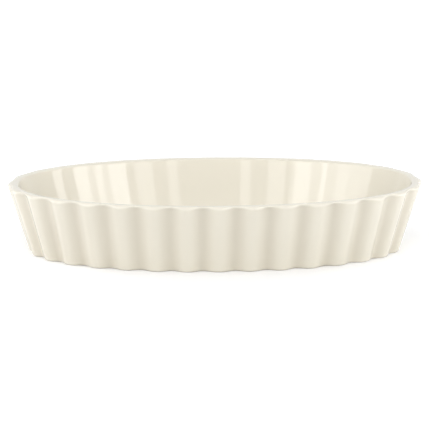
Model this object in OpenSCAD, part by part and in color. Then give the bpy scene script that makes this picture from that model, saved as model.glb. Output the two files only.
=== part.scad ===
// Low oval baking dish, one piece of glazed china with a fluted outside and a smooth inside.
// The length runs along X and the width along Y. The foot stands on Z = 0, centred on the origin.

/* [Oval] */
// Length of the rim, over the flutes' crests
rim_l = 184; // [170:1:210]
// Width of the rim, over the flutes' crests
rim_w = 99.5; // [90:0.5:125]
// Fullness of the oval: 2 is an ellipse, more is squarer
oval_fullness = 2.12; // [2:0.02:2.3]

/* [Wall] */
// Height of the dish, from the foot to the top of the lip
dish_h = 31; // [27:0.5:42]
// Lean of the outer wall from upright, in degrees
wall_lean = 17.8; // [10:0.1:22]
// Lean of the inner wall from upright at the lip, in degrees
inner_lean = 17; // [10:0.5:22]
// Lean of the inner wall from upright where it meets the corner, in degrees
inner_low_lean = 23; // [14:0.5:30]
// Thickness of the lip at a crest, where the wall is measured through
lip_t = 4.8; // [4:0.1:6]

/* [Flutes] */
// Number of flutes round the wall, a multiple of four so that a crest lies on each axis
flutes = 32; // [24:4:40]
// Depth of a valley below the crests, just under the lip
flute_rim_d = 2.3; // [1:0.1:2.8]
// Depth of a valley below the crests, at the foot
flute_foot_d = 2.2; // [0.6:0.1:2.8]
// Sharpness of the valleys: 1 is an even wave, more gives narrower valleys and broader crests
valley_sharpness = 1.3; // [0.8:0.1:1.6]

/* [Floor and foot] */
// Thickness of the floor
floor_t = 4.2; // [3.4:0.1:6]
// Radius where the inner wall turns into the floor
floor_r = 11; // [5:0.5:13]
// Radius of the outer edge that the foot stands on
foot_edge_r = 1.1; // [0.6:0.1:2]
// Width of the flat ring that the dish stands on, measured at a crest
foot_ring_w = 5; // [4:0.5:8]
// Depth of the hollow inside the foot ring
foot_hollow_d = 1.2; // [0.5:0.1:2]

/* [Smoothness] */
// Points along each flute
points_per_flute = 8; // [6:2:8]
// Steps round each half of the lip
lip_steps = 4; // [2:1:4]
// Steps down the curve of the inner wall
inner_steps = 3; // [2:1:4]
// Steps round the inner corner
corner_steps = 5; // [3:1:6]

/* [Hidden] */
glaze = "ivory";
half_l = rim_l / 2;
half_w = rim_w / 2;
lip_r = lip_t / 2;
columns = flutes * points_per_flute;
edge_steps = 3;
hollow_every = 4;
arc_samples = 720;

// The oval that the crests of the rim touch, by its angle, and the direction that faces out of it
function oval_radius(angle) =
    pow(
        pow(abs(cos(angle)) / half_l, oval_fullness) + pow(abs(sin(angle)) / half_w, oval_fullness),
        -1 / oval_fullness
    );
function oval_point(angle) = oval_radius(angle) * [cos(angle), sin(angle)];
function oval_slope(along, half) = sign(along) * pow(abs(along) / half, oval_fullness - 1) / half;
function oval_outward(point) =
    let (slope = [oval_slope(point.x, half_l), oval_slope(point.y, half_w)])
    slope / norm(slope);

// Length along the oval against the angle, so that the flutes can be spaced evenly along it
function sample_angle(i) = i * 360 / arc_samples;
arc_table = [
    for (
        i = 0, run = 0;
        i <= arc_samples;
        run = run + norm(oval_point(sample_angle(i + 1)) - oval_point(sample_angle(i))), i = i + 1
    ) [run, sample_angle(i)]
];
oval_length = arc_table[arc_samples][0];
crest_line = [for (c = [0 : columns - 1]) oval_point(lookup(oval_length * c / columns, arc_table))];
outward = [for (p = crest_line) oval_outward(p)];

// Depth of the flute pattern at each column, from 0 on a crest to 1 in a valley
wave = [
    for (c = [0 : columns - 1])
        pow((1 - cos(360 * c / points_per_flute)) / 2, valley_sharpness)
];

// A ring is [distance in from the crests' oval, height, depth of its valleys].
// The outer wall is straight and touches the round lip. The inner wall is slightly hollow:
// its slope grows evenly from the lip down to the corner.
lip_z = dish_h - lip_r;
outer_top = [lip_r - lip_r * cos(wall_lean), lip_z - lip_r * sin(wall_lean)];
inner_top = [lip_r + lip_r * cos(inner_lean), lip_z + lip_r * sin(inner_lean)];
function outer_in(z) = outer_top[0] + (outer_top[1] - z) * tan(wall_lean);
corner_top_z = floor_t + floor_r * (1 - sin(inner_low_lean));
inner_drop = inner_top[1] - corner_top_z;
inner_slope_gain = tan(inner_low_lean) - tan(inner_lean);
function inner_in(down) =
    inner_top[0] + down * tan(inner_lean) + inner_slope_gain * down * down / (2 * inner_drop);

// Foot: the flat ring's outer edge, rounded up into the wall
foot_in = outer_in(foot_edge_r);
foot_rings = [
    for (i = [0 : edge_steps])
        let (turn = 90 * i / edge_steps)
        [
            foot_in + foot_edge_r * (1 - sin(turn)),
            foot_edge_r * (1 - cos(turn)),
            flute_foot_d
        ]
];

// Lip: half round, by its angle from level on the outside, over the top, to where it meets the inner wall.
// The flutes fade out up its outer half and are gone at the top.
fade_power = 2;
function lip_valley_d(turn) =
    turn >= 90
        ? 0
        : flute_rim_d * pow(cos(max(turn, 0)), fade_power);
inner_turn = 90 - inner_lean;
lip_turns = concat(
    [-wall_lean],
    [for (i = [0 : lip_steps]) 90 * i / lip_steps],
    [for (i = [1 : lip_steps]) 90 + inner_turn * i / lip_steps]
);
lip_rings = [
    for (turn = lip_turns)
        [
            lip_r - lip_r * cos(turn),
            lip_z + lip_r * sin(turn),
            lip_valley_d(turn)
        ]
];

// Inside: down the wall, round the corner and onto the flat floor
inner_rings = [
    for (i = [1 : inner_steps - 1])
        let (down = inner_drop * i / inner_steps)
        [inner_in(down), inner_top[1] - down, 0]
];
corner_z = floor_t + floor_r;
corner_in = inner_in(inner_drop) + floor_r * cos(inner_low_lean);
corner_rings = [
    for (i = [0 : corner_steps])
        let (turn = inner_low_lean + (90 - inner_low_lean) * i / corner_steps)
        [
            corner_in - floor_r * cos(turn),
            corner_z - floor_r * sin(turn),
            0
        ]
];

rings = concat(foot_rings, lip_rings, inner_rings, corner_rings);
last_ring = len(rings) - 1;

// The shallow hollow inside the flat ring that the dish stands on
hollow_in = foot_in + foot_edge_r + foot_ring_w;
hollow_outline = [for (c = [0 : hollow_every : columns - 1]) crest_line[c] - hollow_in * outward[c]];

function ring_point(ring, c) =
    let (flat = crest_line[c] - (ring[0] + ring[2] * wave[c]) * outward[c])
    [flat.x, flat.y, ring[1]];

// One closed skin through all the rings, with a centre point underneath and one on the floor
module china_body() {
    bottom_centre = len(rings) * columns;
    floor_centre = bottom_centre + 1;
    skin_points = concat(
        [for (ring = rings) for (c = [0 : columns - 1]) ring_point(ring, c)],
        [[0, 0, 0], [0, 0, floor_t]]
    );
    band_faces = [
        for (r = [0 : last_ring - 1])
            for (c = [0 : columns - 1])
                let (
                    next = (c + 1) % columns,
                    low = r * columns,
                    high = low + columns
                )
                each [
                    [low + c, high + c, high + next],
                    [low + c, high + next, low + next]
                ]
    ];
    bottom_faces = [
        for (c = [0 : columns - 1])
            [bottom_centre, c, (c + 1) % columns]
    ];
    floor_faces = [
        for (c = [0 : columns - 1])
            [floor_centre, last_ring * columns + (c + 1) % columns, last_ring * columns + c]
    ];
    polyhedron(points = skin_points, faces = concat(band_faces, bottom_faces, floor_faces), convexity = 4);
}

// The pocket under the dish, which leaves the flat foot ring standing round it
module foot_hollow() {
    translate([0, 0, -1])
        linear_extrude(height = 1 + foot_hollow_d)
            polygon(hollow_outline);
}

module dish() {
    color(glaze)
        difference() {
            china_body();
            foot_hollow();
        }
}

dish();
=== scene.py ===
import bisect
import math

import bmesh
import bpy
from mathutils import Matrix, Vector


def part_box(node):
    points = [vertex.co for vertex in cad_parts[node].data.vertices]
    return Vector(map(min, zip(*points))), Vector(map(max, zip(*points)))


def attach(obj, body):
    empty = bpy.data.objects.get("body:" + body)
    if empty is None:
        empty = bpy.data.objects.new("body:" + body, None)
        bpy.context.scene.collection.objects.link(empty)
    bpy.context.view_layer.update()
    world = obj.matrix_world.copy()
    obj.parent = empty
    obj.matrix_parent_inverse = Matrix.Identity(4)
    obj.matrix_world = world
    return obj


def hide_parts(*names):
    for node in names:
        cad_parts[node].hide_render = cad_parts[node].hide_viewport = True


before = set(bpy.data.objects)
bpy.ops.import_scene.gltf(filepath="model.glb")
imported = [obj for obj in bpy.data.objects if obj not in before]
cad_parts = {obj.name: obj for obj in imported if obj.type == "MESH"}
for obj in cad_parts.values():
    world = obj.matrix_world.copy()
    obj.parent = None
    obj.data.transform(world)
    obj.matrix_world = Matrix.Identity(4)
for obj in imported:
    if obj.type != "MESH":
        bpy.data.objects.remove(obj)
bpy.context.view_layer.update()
halfLength, halfWidth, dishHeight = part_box("dish")[1]
print("frame loaded")

# lengths in metres, leans in degrees from upright
dishShape = {
    "flutes": 32,
    "pointsPerFlute": 24,
    "arcSamples": 14400,
    "ovalFullness": 2.12,
    "wallLean": 17.1,
    "innerLean": 17.0,
    "innerLowLean": 23.0,
    "lipThickness": 0.0048,
    "lipEdgeRadius": 0.0011,
    "lipCrownRadius": 0.005,
    "fluteDepthRim": 0.0023,
    "fluteDepthFoot": 0.0022,
    "valleySharpness": 1.3,
    "fadeHeight": 0.0026,
    "fadePower": 3,
    "floorThickness": 0.0042,
    "cornerRadius": 0.011,
    "footEdgeRadius": 0.0011,
    "footRingWidth": 0.005,
    "footRingParts": (0.25, 0.5, 0.75),
    "hollowDepth": 0.0012,
    "hollowEdgeRadius": 0.0005,
    "wallSteps": 14,
    "lipSteps": 11,
    "innerSteps": 9,
    "cornerSteps": 12,
    "edgeSteps": 5,
    "centreScales": (0.05, 0.12, 0.22, 0.34, 0.46, 0.58, 0.7, 0.8, 0.9),
    "mergeDistance": 0.0000001,
}

# how much glaze has gathered on each part, which also paints light and shade: the darker pooled colour in the
# valleys, the inner corner and the hollow underneath is partly real pooled glaze and partly painted shade, and
# the wall is darker towards its foot. A valley whose depth equals the rim's adds 1, and below 0 the glaze is
# thin and paler, partly a painted highlight on the lip's outer shoulder. On the lip it is thinnest at the turn
# given below, in degrees from level round the lip's section.
glazeFlowShadeSheen = {
    "underneath": 0.2,
    "hollowEdge": 0.5,
    "foot": 0.1,
    "footFadePower": 3,
    # the inner corner's darker colour is pooled glaze and painted shade
    "corner": 0.9,
    "cornerHaste": 1.1,  # above 1, the corner's pool ends before the floor
    "floor": 0.1,
    "lipThinSheenTurn": 75,
    "lipThinSheenSpread": 38,
}

columnCount = dishShape["flutes"] * dishShape["pointsPerFlute"]
quarterTurn = math.pi / 2


def ovalPoint(turn):
    power = dishShape["ovalFullness"]
    along = abs(math.cos(turn)) / halfLength
    across = abs(math.sin(turn)) / halfWidth
    reach = (along ** power + across ** power) ** (-1 / power)
    return Vector((reach * math.cos(turn), reach * math.sin(turn), 0))


def ovalOutward(point):
    power = dishShape["ovalFullness"] - 1
    slopeX = math.copysign((abs(point.x) / halfLength) ** power / halfLength, point.x)
    slopeY = math.copysign((abs(point.y) / halfWidth) ** power / halfWidth, point.y)
    return Vector((slopeX, slopeY, 0)).normalized()


# columns stand at equal distances along the oval, so that all the flutes are equally wide
def spacedColumns():
    samples = dishShape["arcSamples"]
    points = [ovalPoint(2 * math.pi * i / samples) for i in range(samples + 1)]
    runs = [0.0]
    for i in range(samples):
        runs.append(runs[-1] + (points[i + 1] - points[i]).length)
    columns = []
    for c in range(columnCount):
        run = runs[-1] * c / columnCount
        i = bisect.bisect_right(runs, run) - 1
        crest = points[i].lerp(points[i + 1], (run - runs[i]) / (runs[i + 1] - runs[i]))
        evenWave = (1 - math.cos(2 * math.pi * c / dishShape["pointsPerFlute"])) / 2
        columns.append((crest, ovalOutward(crest), evenWave ** dishShape["valleySharpness"]))
    return columns


# a ring has its inset from the crests' oval, its height, the depth of its valleys, the glaze that has
# gathered on it with the painted shade or painted highlight that goes with it, how bare its body is and, near
# the middle, how far it is scaled in
def ring(inset, height, valley=0, poolShadeSheen=0, bare=0, scale=1):
    return inset, height, valley, poolShadeSheen, bare, scale


def ringsUnderneath(footInset):
    hollow = footInset + dishShape["footEdgeRadius"] + dishShape["footRingWidth"]
    top = dishShape["hollowDepth"]
    edge = dishShape["hollowEdgeRadius"]
    steps = dishShape["edgeSteps"]
    rings = []
    for scale in dishShape["centreScales"]:
        rings.append(ring(hollow + edge, top, poolShadeSheen=glazeFlowShadeSheen["underneath"], scale=scale))
    for i in range(steps + 1):
        turn = quarterTurn * i / steps
        inset = hollow + edge - edge * math.sin(turn)
        rings.append(ring(inset, top - edge + edge * math.cos(turn), poolShadeSheen=glazeFlowShadeSheen["hollowEdge"]))
    for i in range(steps + 1):
        turn = quarterTurn * i / steps
        inset = hollow - edge + edge * math.cos(turn)
        rings.append(ring(inset, edge - edge * math.sin(turn), bare=i / steps))
    inner = hollow - edge
    outer = footInset + dishShape["footEdgeRadius"]
    for part in dishShape["footRingParts"]:
        rings.append(ring(inner + (outer - inner) * part, 0, dishShape["fluteDepthFoot"] * part, bare=1))
    return rings


def ringsOutside(footInset, lean):
    edge = dishShape["footEdgeRadius"]
    foot = dishShape["fluteDepthFoot"]
    rim = dishShape["fluteDepthRim"]
    steps = dishShape["edgeSteps"]
    rings = []
    for i in range(steps + 1):
        turn = quarterTurn * i / steps
        inset = footInset + edge * (1 - math.sin(turn))
        bare = 1 if i == 0 else 0
        rings.append(ring(inset, edge * (1 - math.cos(turn)), foot, glazeFlowShadeSheen["foot"], bare))
    topInset, topHeight = lipPoint(-lean)
    for i in range(1, dishShape["wallSteps"]):
        part = 1 - (1 - i / dishShape["wallSteps"]) ** 2  # the rings stand closer together towards the lip
        inset = footInset + (topInset - footInset) * part
        height = edge + (topHeight - edge) * part
        valley = (foot + (rim - foot) * part) * fluteFade(height)
        poolShadeSheen = glazeFlowShadeSheen["foot"] * (1 - part) ** glazeFlowShadeSheen["footFadePower"]
        rings.append(ring(inset, height, valley, poolShadeSheen))
    return rings


# the lip's section is a gently domed crown between two rounder edges. A point on it is found by the angle of
# its outward direction from level.
def lipPoint(turn):
    thickness = dishShape["lipThickness"]
    edge = dishShape["lipEdgeRadius"]
    crown = dishShape["lipCrownRadius"]
    tilt = math.asin((thickness / 2 - edge) / (crown - edge))
    if abs(turn - quarterTurn) < tilt:
        return thickness / 2 - crown * math.cos(turn), dishHeight - crown + crown * math.sin(turn)
    middle = edge if turn < quarterTurn else thickness - edge
    drop = crown - (crown - edge) * math.cos(tilt)
    return middle - edge * math.cos(turn), dishHeight - drop + edge * math.sin(turn)


# the flutes fade towards the top of the lip
def fluteFade(height):
    above = height - (dishHeight - dishShape["fadeHeight"])
    return 1 - (max(above, 0) / dishShape["fadeHeight"]) ** dishShape["fadePower"]


def ringsLip(lean, innerLean):
    steps = dishShape["lipSteps"]
    outer = [-lean + (quarterTurn + lean) * i / steps for i in range(steps)]
    inner = [quarterTurn + (quarterTurn - innerLean) * i / steps for i in range(steps + 1)]
    sheenTurn = math.radians(glazeFlowShadeSheen["lipThinSheenTurn"])
    sheenSpread = math.radians(glazeFlowShadeSheen["lipThinSheenSpread"])
    rings = []
    for turn in outer + inner:
        inset, height = lipPoint(turn)
        valley = dishShape["fluteDepthRim"] * fluteFade(height) if turn < quarterTurn else 0
        # the lip's outer shoulder is painted paler: thin glaze and a painted highlight
        rings.append(ring(inset, height, valley, -math.exp(-((turn - sheenTurn) / sheenSpread) ** 2)))
    return rings


def ringsInside(innerLean, lowLean):
    corner = dishShape["cornerRadius"]
    floor = dishShape["floorThickness"]
    slope = math.tan(innerLean)
    gain = math.tan(lowLean) - slope
    topInset, topHeight = lipPoint(math.pi - innerLean)
    drop = topHeight - floor - corner * (1 - math.sin(lowLean))
    rings = []
    for i in range(1, dishShape["innerSteps"]):
        down = drop * i / dishShape["innerSteps"]
        rings.append(ring(topInset + down * slope + gain * down * down / (2 * drop), topHeight - down))
    cornerInset = topInset + drop * slope + gain * drop / 2 + corner * math.cos(lowLean)
    for i in range(dishShape["cornerSteps"] + 1):
        part = i / dishShape["cornerSteps"]
        turn = lowLean + (quarterTurn - lowLean) * part
        # the inner corner is painted darker: pooled glaze and painted shade
        poolShadeSheen = glazeFlowShadeSheen["corner"] * math.sin(math.pi * min(1, part * glazeFlowShadeSheen["cornerHaste"])) ** 2
        inset = cornerInset - corner * math.cos(turn)
        rings.append(ring(inset, floor + corner - corner * math.sin(turn), poolShadeSheen=poolShadeSheen))
    for scale in reversed(dishShape["centreScales"]):
        rings.append(ring(cornerInset, floor, poolShadeSheen=glazeFlowShadeSheen["floor"], scale=scale))
    return rings


def addObject(name, mesh):
    data = bpy.data.meshes.new(name)
    mesh.to_mesh(data)
    mesh.free()
    made = bpy.data.objects.new(name, data)
    bpy.context.scene.collection.objects.link(made)
    return made


def makeDish():
    lean = math.radians(dishShape["wallLean"])
    innerLean = math.radians(dishShape["innerLean"])
    lowLean = math.radians(dishShape["innerLowLean"])
    topInset, topHeight = lipPoint(-lean)
    footInset = topInset + (topHeight - dishShape["footEdgeRadius"]) * math.tan(lean)
    rings = ringsUnderneath(footInset) + ringsOutside(footInset, lean)
    rings += ringsLip(lean, innerLean) + ringsInside(innerLean, lowLean)
    columns = spacedColumns()

    mesh = bmesh.new()
    columnOf = mesh.verts.layers.int.new("column")
    glazePoolShadeSheen = mesh.verts.layers.float.new("glazePoolShadeSheen")
    bareBody = mesh.verts.layers.float.new("bareBody")
    verts = bmesh.ops.create_circle(mesh, segments=columnCount, radius=1)["verts"]
    for vert in verts:
        share = math.atan2(vert.co.y, vert.co.x) / (2 * math.pi)
        vert[columnOf] = round(share * columnCount) % columnCount
    edges = list(mesh.edges)
    for number, (inset, height, valley, poolShadeSheen, bare, scale) in enumerate(rings):
        if number:  # each further ring is extruded from the last one and set in its place
            made = bmesh.ops.extrude_edge_only(mesh, edges=edges)["geom"]
            verts = [item for item in made if isinstance(item, bmesh.types.BMVert)]
            fresh = set(verts)
            made = [item for item in made if isinstance(item, bmesh.types.BMEdge)]
            edges = [edge for edge in made if fresh.issuperset(edge.verts)]
        for vert in verts:
            crest, outward, wave = columns[vert[columnOf]]
            place = (crest - outward * (inset + valley * wave)) * scale
            vert.co = (place.x, place.y, height)
            # deeper valleys are painted darker: pooled glaze and painted shade
            vert[glazePoolShadeSheen] = poolShadeSheen + wave * valley / dishShape["fluteDepthRim"]
            vert[bareBody] = bare
        if number == 0 or number == len(rings) - 1:  # one face closes the underside, and one the floor
            bmesh.ops.contextual_create(mesh, geom=edges)
    bmesh.ops.remove_doubles(mesh, verts=mesh.verts, dist=dishShape["mergeDistance"])
    bmesh.ops.recalc_face_normals(mesh, faces=mesh.faces)
    for face in mesh.faces:
        face.smooth = True
    return addObject("glazedDish", mesh)


# a shader socket that can be used in sums. node() adds any other node.
class Wire:
    def __init__(self, tree, socket=None):
        self.tree = tree
        self.socket = socket

    def node(self, kind, settings=None, inputs=None, output=0):
        made = self.tree.nodes.new(kind)
        for name, value in (settings or {}).items():
            setattr(made, name, value)
        for key, value in (inputs or {}).items():
            if isinstance(value, Wire):
                self.tree.links.new(value.socket, made.inputs[key])
            else:
                made.inputs[key].default_value = value
        return Wire(self.tree, made.outputs[output]) if made.outputs else None

    def maths(self, operation, first, second=0.0, clamp=False):
        settings = {"operation": operation, "use_clamp": clamp}
        return self.node("ShaderNodeMath", settings, {0: first, 1: second})

    def __add__(self, other):
        return self.maths("ADD", self, other)

    __radd__ = __add__

    def __mul__(self, other):
        return self.maths("MULTIPLY", self, other)

    __rmul__ = __mul__

    def __sub__(self, other):
        return self.maths("SUBTRACT", self, other)

    def __rsub__(self, other):
        return self.maths("SUBTRACT", other, self)

    def clamped(self):
        return self.maths("ADD", self, 0.0, clamp=True)

    # the Mix node's colours are its sockets 6 and 7 and its output 2
    def blend(self, amount, first, second):
        return self.node("ShaderNodeMix", {"data_type": "RGBA"}, {0: amount, 6: first, 7: second}, output=2)


def newMaterial(name):
    material = bpy.data.materials.new(name)
    material.use_nodes = True
    material.node_tree.nodes.clear()
    return material, Wire(material.node_tree)


# clouds vary the glaze's colour and its edge at the foot, ripples are its relief, and grain the bare body's
glaze = {
    "ivory": (0.79, 0.747, 0.638, 1),
    # the pooled colour is darker: pooled glaze and painted shade in the valleys and the inner corner
    "pooledAndShaded": (0.665, 0.615, 0.505, 1),
    # the thin colour is paler: thin glaze and a painted highlight on the lip
    "thinAndSheen": (0.83, 0.788, 0.68, 1),
    "bare": (0.83, 0.80, 0.74, 1),
    "clouds": {"Scale": 55, "Detail": 3.0, "Roughness": 0.5},
    "ripples": {"Scale": 130, "Detail": 1.0, "Roughness": 0.4},
    "grain": {"Scale": 4200, "Detail": 2.0, "Roughness": 0.6},
    "rippleHeight": 0.000012,
    "grainHeight": 0.00004,
    "shadedPoolByFlow": 0.75,
    "pooledByClouds": 0.3,
    "thinAndSheenByFlow": -0.9,
    "thinByClouds": 0.5,
    "bareByClouds": 0.5,
    "bareFrom": 0.35,
    "bareSharpness": 6,
    "roughness": 0.42,
    "bareExtraRoughness": 0.4,
    "ior": 1.45,
    "coatRoughness": 0.045,
    "coatIor": 1.52,
}


def makeGlaze():
    material, wire = newMaterial("ivoryGlaze")
    place = wire.node("ShaderNodeTexCoord", output="Object")
    poolShadeSheen = wire.node("ShaderNodeAttribute", {"attribute_name": "glazePoolShadeSheen"}, output="Fac")
    bare = wire.node("ShaderNodeAttribute", {"attribute_name": "bareBody"}, output="Fac")
    clouds = wire.node("ShaderNodeTexNoise", inputs={"Vector": place, **glaze["clouds"]}) - 0.5
    ripples = wire.node("ShaderNodeTexNoise", inputs={"Vector": place, **glaze["ripples"]})
    grain = wire.node("ShaderNodeTexNoise", inputs={"Vector": place, **glaze["grain"]})

    # glaze runs off the lip, where it is pale, and gathers in the valleys and the inner corner. The pale lip
    # is partly a painted highlight, and the darker valleys and corner are partly painted shade.
    poolAndShadeShare = (poolShadeSheen * glaze["shadedPoolByFlow"] + clouds * glaze["pooledByClouds"]).clamped()
    pale = (poolShadeSheen * glaze["thinAndSheenByFlow"] + clouds * glaze["thinByClouds"]).clamped()
    stripped = (bare + clouds * glaze["bareByClouds"] - glaze["bareFrom"]) * glaze["bareSharpness"]
    stripped = stripped.clamped()
    colour = wire.blend(poolAndShadeShare, glaze["ivory"], glaze["pooledAndShaded"])
    colour = wire.blend(pale, colour, glaze["thinAndSheen"])
    colour = wire.blend(stripped, colour, glaze["bare"])

    relief = wire.node("ShaderNodeBump", inputs={
        "Strength": 1.0,
        "Distance": glaze["rippleHeight"],
        "Height": ripples * (1 - stripped),
    }, output="Normal")
    relief = wire.node("ShaderNodeBump", inputs={
        "Strength": 1.0,
        "Distance": glaze["grainHeight"],
        "Height": grain * stripped,
        "Normal": relief,
    }, output="Normal")
    surface = wire.node("ShaderNodeBsdfPrincipled", inputs={
        "Base Color": colour,
        "Roughness": glaze["roughness"] + glaze["bareExtraRoughness"] * stripped,
        "Coat Weight": 1 - stripped,
        "Coat Roughness": glaze["coatRoughness"],
        "Coat IOR": glaze["coatIor"],
        "IOR": glaze["ior"],
        "Normal": relief,
    })
    wire.node("ShaderNodeOutputMaterial", inputs={"Surface": surface})
    return material


dish = makeDish()
dish.data.materials.append(makeGlaze())
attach(dish, "root")
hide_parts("dish")
print("dish made,", len(dish.data.polygons), "faces")

# the camera and reflections see a near-white table. Its glow rises from nearReach to farReach, measured from
# the middle of the dish, so that the page is white beyond the shadow. The soft light that the table bounces
# onto the dish is that of a plain pale one.
table = {
    "size": 4.0,
    "pale": (0.8, 0.8, 0.8, 1),
    "white": (0.98, 0.985, 1, 1),
    "nearGlow": (0, 0, 0, 1),
    "farGlow": (0.3, 0.3, 0.3, 1),
    "nearReach": 0.058,
    "farReach": 0.13,
}


def makeTable():
    mesh = bmesh.new()
    bmesh.ops.create_grid(mesh, x_segments=2, y_segments=2, size=table["size"] / 2)
    top = addObject("table", mesh)
    material, wire = newMaterial("paleTable")
    place = wire.node("ShaderNodeTexCoord", output="Object")
    reach = wire.node("ShaderNodeVectorMath", {"operation": "LENGTH"}, {0: place}, output="Value")
    far = ((reach - table["nearReach"]) * (1 / (table["farReach"] - table["nearReach"]))).clamped()
    byCamera = wire.node("ShaderNodeLightPath", output="Is Camera Ray")
    byGloss = wire.node("ShaderNodeLightPath", output="Is Glossy Ray")
    byGlass = wire.node("ShaderNodeLightPath", output="Is Transmission Ray")
    shown = (byCamera + byGloss + byGlass).clamped()
    glowColour = wire.blend(far, table["nearGlow"], table["farGlow"])
    pale = wire.node("ShaderNodeBsdfDiffuse", inputs={"Color": table["pale"]})
    white = wire.node("ShaderNodeBsdfDiffuse", inputs={"Color": table["white"]})
    glow = wire.node("ShaderNodeEmission", inputs={"Color": glowColour})
    page = wire.node("ShaderNodeAddShader", inputs={0: white, 1: glow})
    surface = wire.node("ShaderNodeMixShader", inputs={0: shown, 1: pale, 2: page})
    wire.node("ShaderNodeOutputMaterial", inputs={"Surface": surface})
    top.data.materials.append(material)
    return top


makeTable()
print("table made")

# soft panels stand upright round the table, most of them where the photo's reflections show light, and all
# with glows that were matched to the photo. Edges are azimuths from the front towards +X, and low and high are
# elevations, in degrees. A glow is the brightness of a panel's face. What a panel doesn't say is as in
# usualPanel.
studio = {
    "roomLight": 0.525,
    "usualPanel": {"distance": 1.1, "low": 18, "high": 40},
    "panels": [
        {"edges": (10.3, 13.3), "glow": 1.65},
        {"edges": (17.7, 23.8), "glow": 1.84},
        {"edges": (27.2, 34.7), "glow": 3.88},
        {"edges": (34.7, 37.9), "glow": 1.75},
        {"edges": (37.9, 41.6), "glow": 3.78},
        {"edges": (41.6, 46.0), "glow": 1.75},
        {"edges": (46.0, 55.5), "glow": 3.88},
        {"edges": (66.0, 75.5), "glow": 2.91},
        {"edges": (-6.8, -4.0), "glow": 1.84},
        {"edges": (-18.0, -12.1), "glow": 1.84},
        {"edges": (-21.6, -20.0), "glow": 1.65},
        {"edges": (-28.2, -21.6), "glow": 3.78},
        {"edges": (-33.2, -28.2), "glow": 1.65},
        {"edges": (-36.1, -33.2), "glow": 4.07},
        {"edges": (-42.0, -36.1), "glow": 1.65},
        {"edges": (-50.0, -42.0), "glow": 3.01},
        {"edges": (-70.0, -50.0), "glow": 2.13},
        {"edges": (-60, 60), "low": 40, "high": 52, "glow": 0.48},
        {"edges": (60, 110), "low": 40, "high": 65, "glow": 0.68},
        {"edges": (-110, -60), "low": 40, "high": 65, "glow": 1.65},
        {"edges": (58, 112), "low": 1, "high": 10, "glow": 4.85, "distance": 0.45},
        {"edges": (-112, -58), "low": 1, "high": 10, "glow": 3.98, "distance": 0.45},
        {"edges": (112, 150), "low": 0.5, "high": 25, "glow": 0.48},
        {"edges": (-150, -112), "low": 0.5, "high": 25, "glow": 0.48},
        {"edges": (150, 210), "low": 0.5, "high": 45, "glow": 0.35},
    ],
}


def addLamp(name, place, aim, wide, tall, glow):
    light = bpy.data.lights.new(name, "AREA")
    light.shape = "RECTANGLE"
    light.size = wide
    light.size_y = tall
    light.energy = glow * math.pi * wide * tall
    lamp = bpy.data.objects.new(name, light)
    bpy.context.scene.collection.objects.link(lamp)
    lamp.location = place
    lamp.rotation_euler = (aim - place).to_track_quat("-Z", "Y").to_euler()
    lamp.visible_camera = False


def lightStudio():
    for number, ownValues in enumerate(studio["panels"]):
        panel = {**studio["usualPanel"], **ownValues}
        reach = panel["distance"]
        azimuth = math.radians(sum(panel["edges"]) / 2)
        half = math.radians(panel["edges"][1] - panel["edges"][0]) / 2
        low, high = (reach * math.tan(math.radians(panel[end])) for end in ("low", "high"))
        place = Vector((reach * math.sin(azimuth), -reach * math.cos(azimuth), (low + high) / 2))
        aim = Vector((0, 0, place.z))
        addLamp("panel%d" % number, place, aim, 2 * reach * math.tan(half), high - low, panel["glow"])

    # the room is white to the camera and dimmer as a light
    world = bpy.data.worlds.new("room")
    world.use_nodes = True
    world.node_tree.nodes.clear()
    bpy.context.scene.world = world
    wire = Wire(world.node_tree)
    byCamera = wire.node("ShaderNodeLightPath", output="Is Camera Ray")
    strength = studio["roomLight"] + byCamera * (1 - studio["roomLight"])
    room = wire.node("ShaderNodeBackground", inputs={"Color": (1, 1, 1, 1), "Strength": strength})
    wire.node("ShaderNodeOutputWorld", inputs={"Surface": room})


lightStudio()
print("light set")

# the photo looks down onto the long side from a little left of the middle. Lengths are in metres and angles
# in radians, the frame and the middle are in the photo's pixels, and the sensor is in millimetres.
view = {
    "distance": 0.966,
    "elevation": 0.2465,
    "turn": -0.0405,
    "pixelsPerMetre": 2240.3,
    "middleX": 215.37,
    "middleY": 214.5,
    "frame": 430,
    "sensor": 36,
    "farthest": 50,
}


def placeCamera():
    camera = bpy.data.cameras.new("camera")
    camera.sensor_width = view["sensor"]
    camera.lens = camera.sensor_width * view["pixelsPerMetre"] * view["distance"] / view["frame"]
    camera.shift_x = (view["frame"] / 2 - view["middleX"]) / view["frame"]
    camera.shift_y = (view["middleY"] - view["frame"] / 2) / view["frame"]
    camera.clip_end = view["farthest"]
    eye = bpy.data.objects.new("camera", camera)
    bpy.context.scene.collection.objects.link(eye)
    level = view["distance"] * math.cos(view["elevation"])
    rise = view["distance"] * math.sin(view["elevation"])
    eye.location = (level * math.sin(view["turn"]), -level * math.cos(view["turn"]), dishHeight / 2 + rise)
    eye.rotation_euler = (quarterTurn - view["elevation"], 0, view["turn"])
    bpy.context.scene.camera = eye


placeCamera()
bpy.context.scene.view_settings.view_transform = "Standard"
print("camera set")
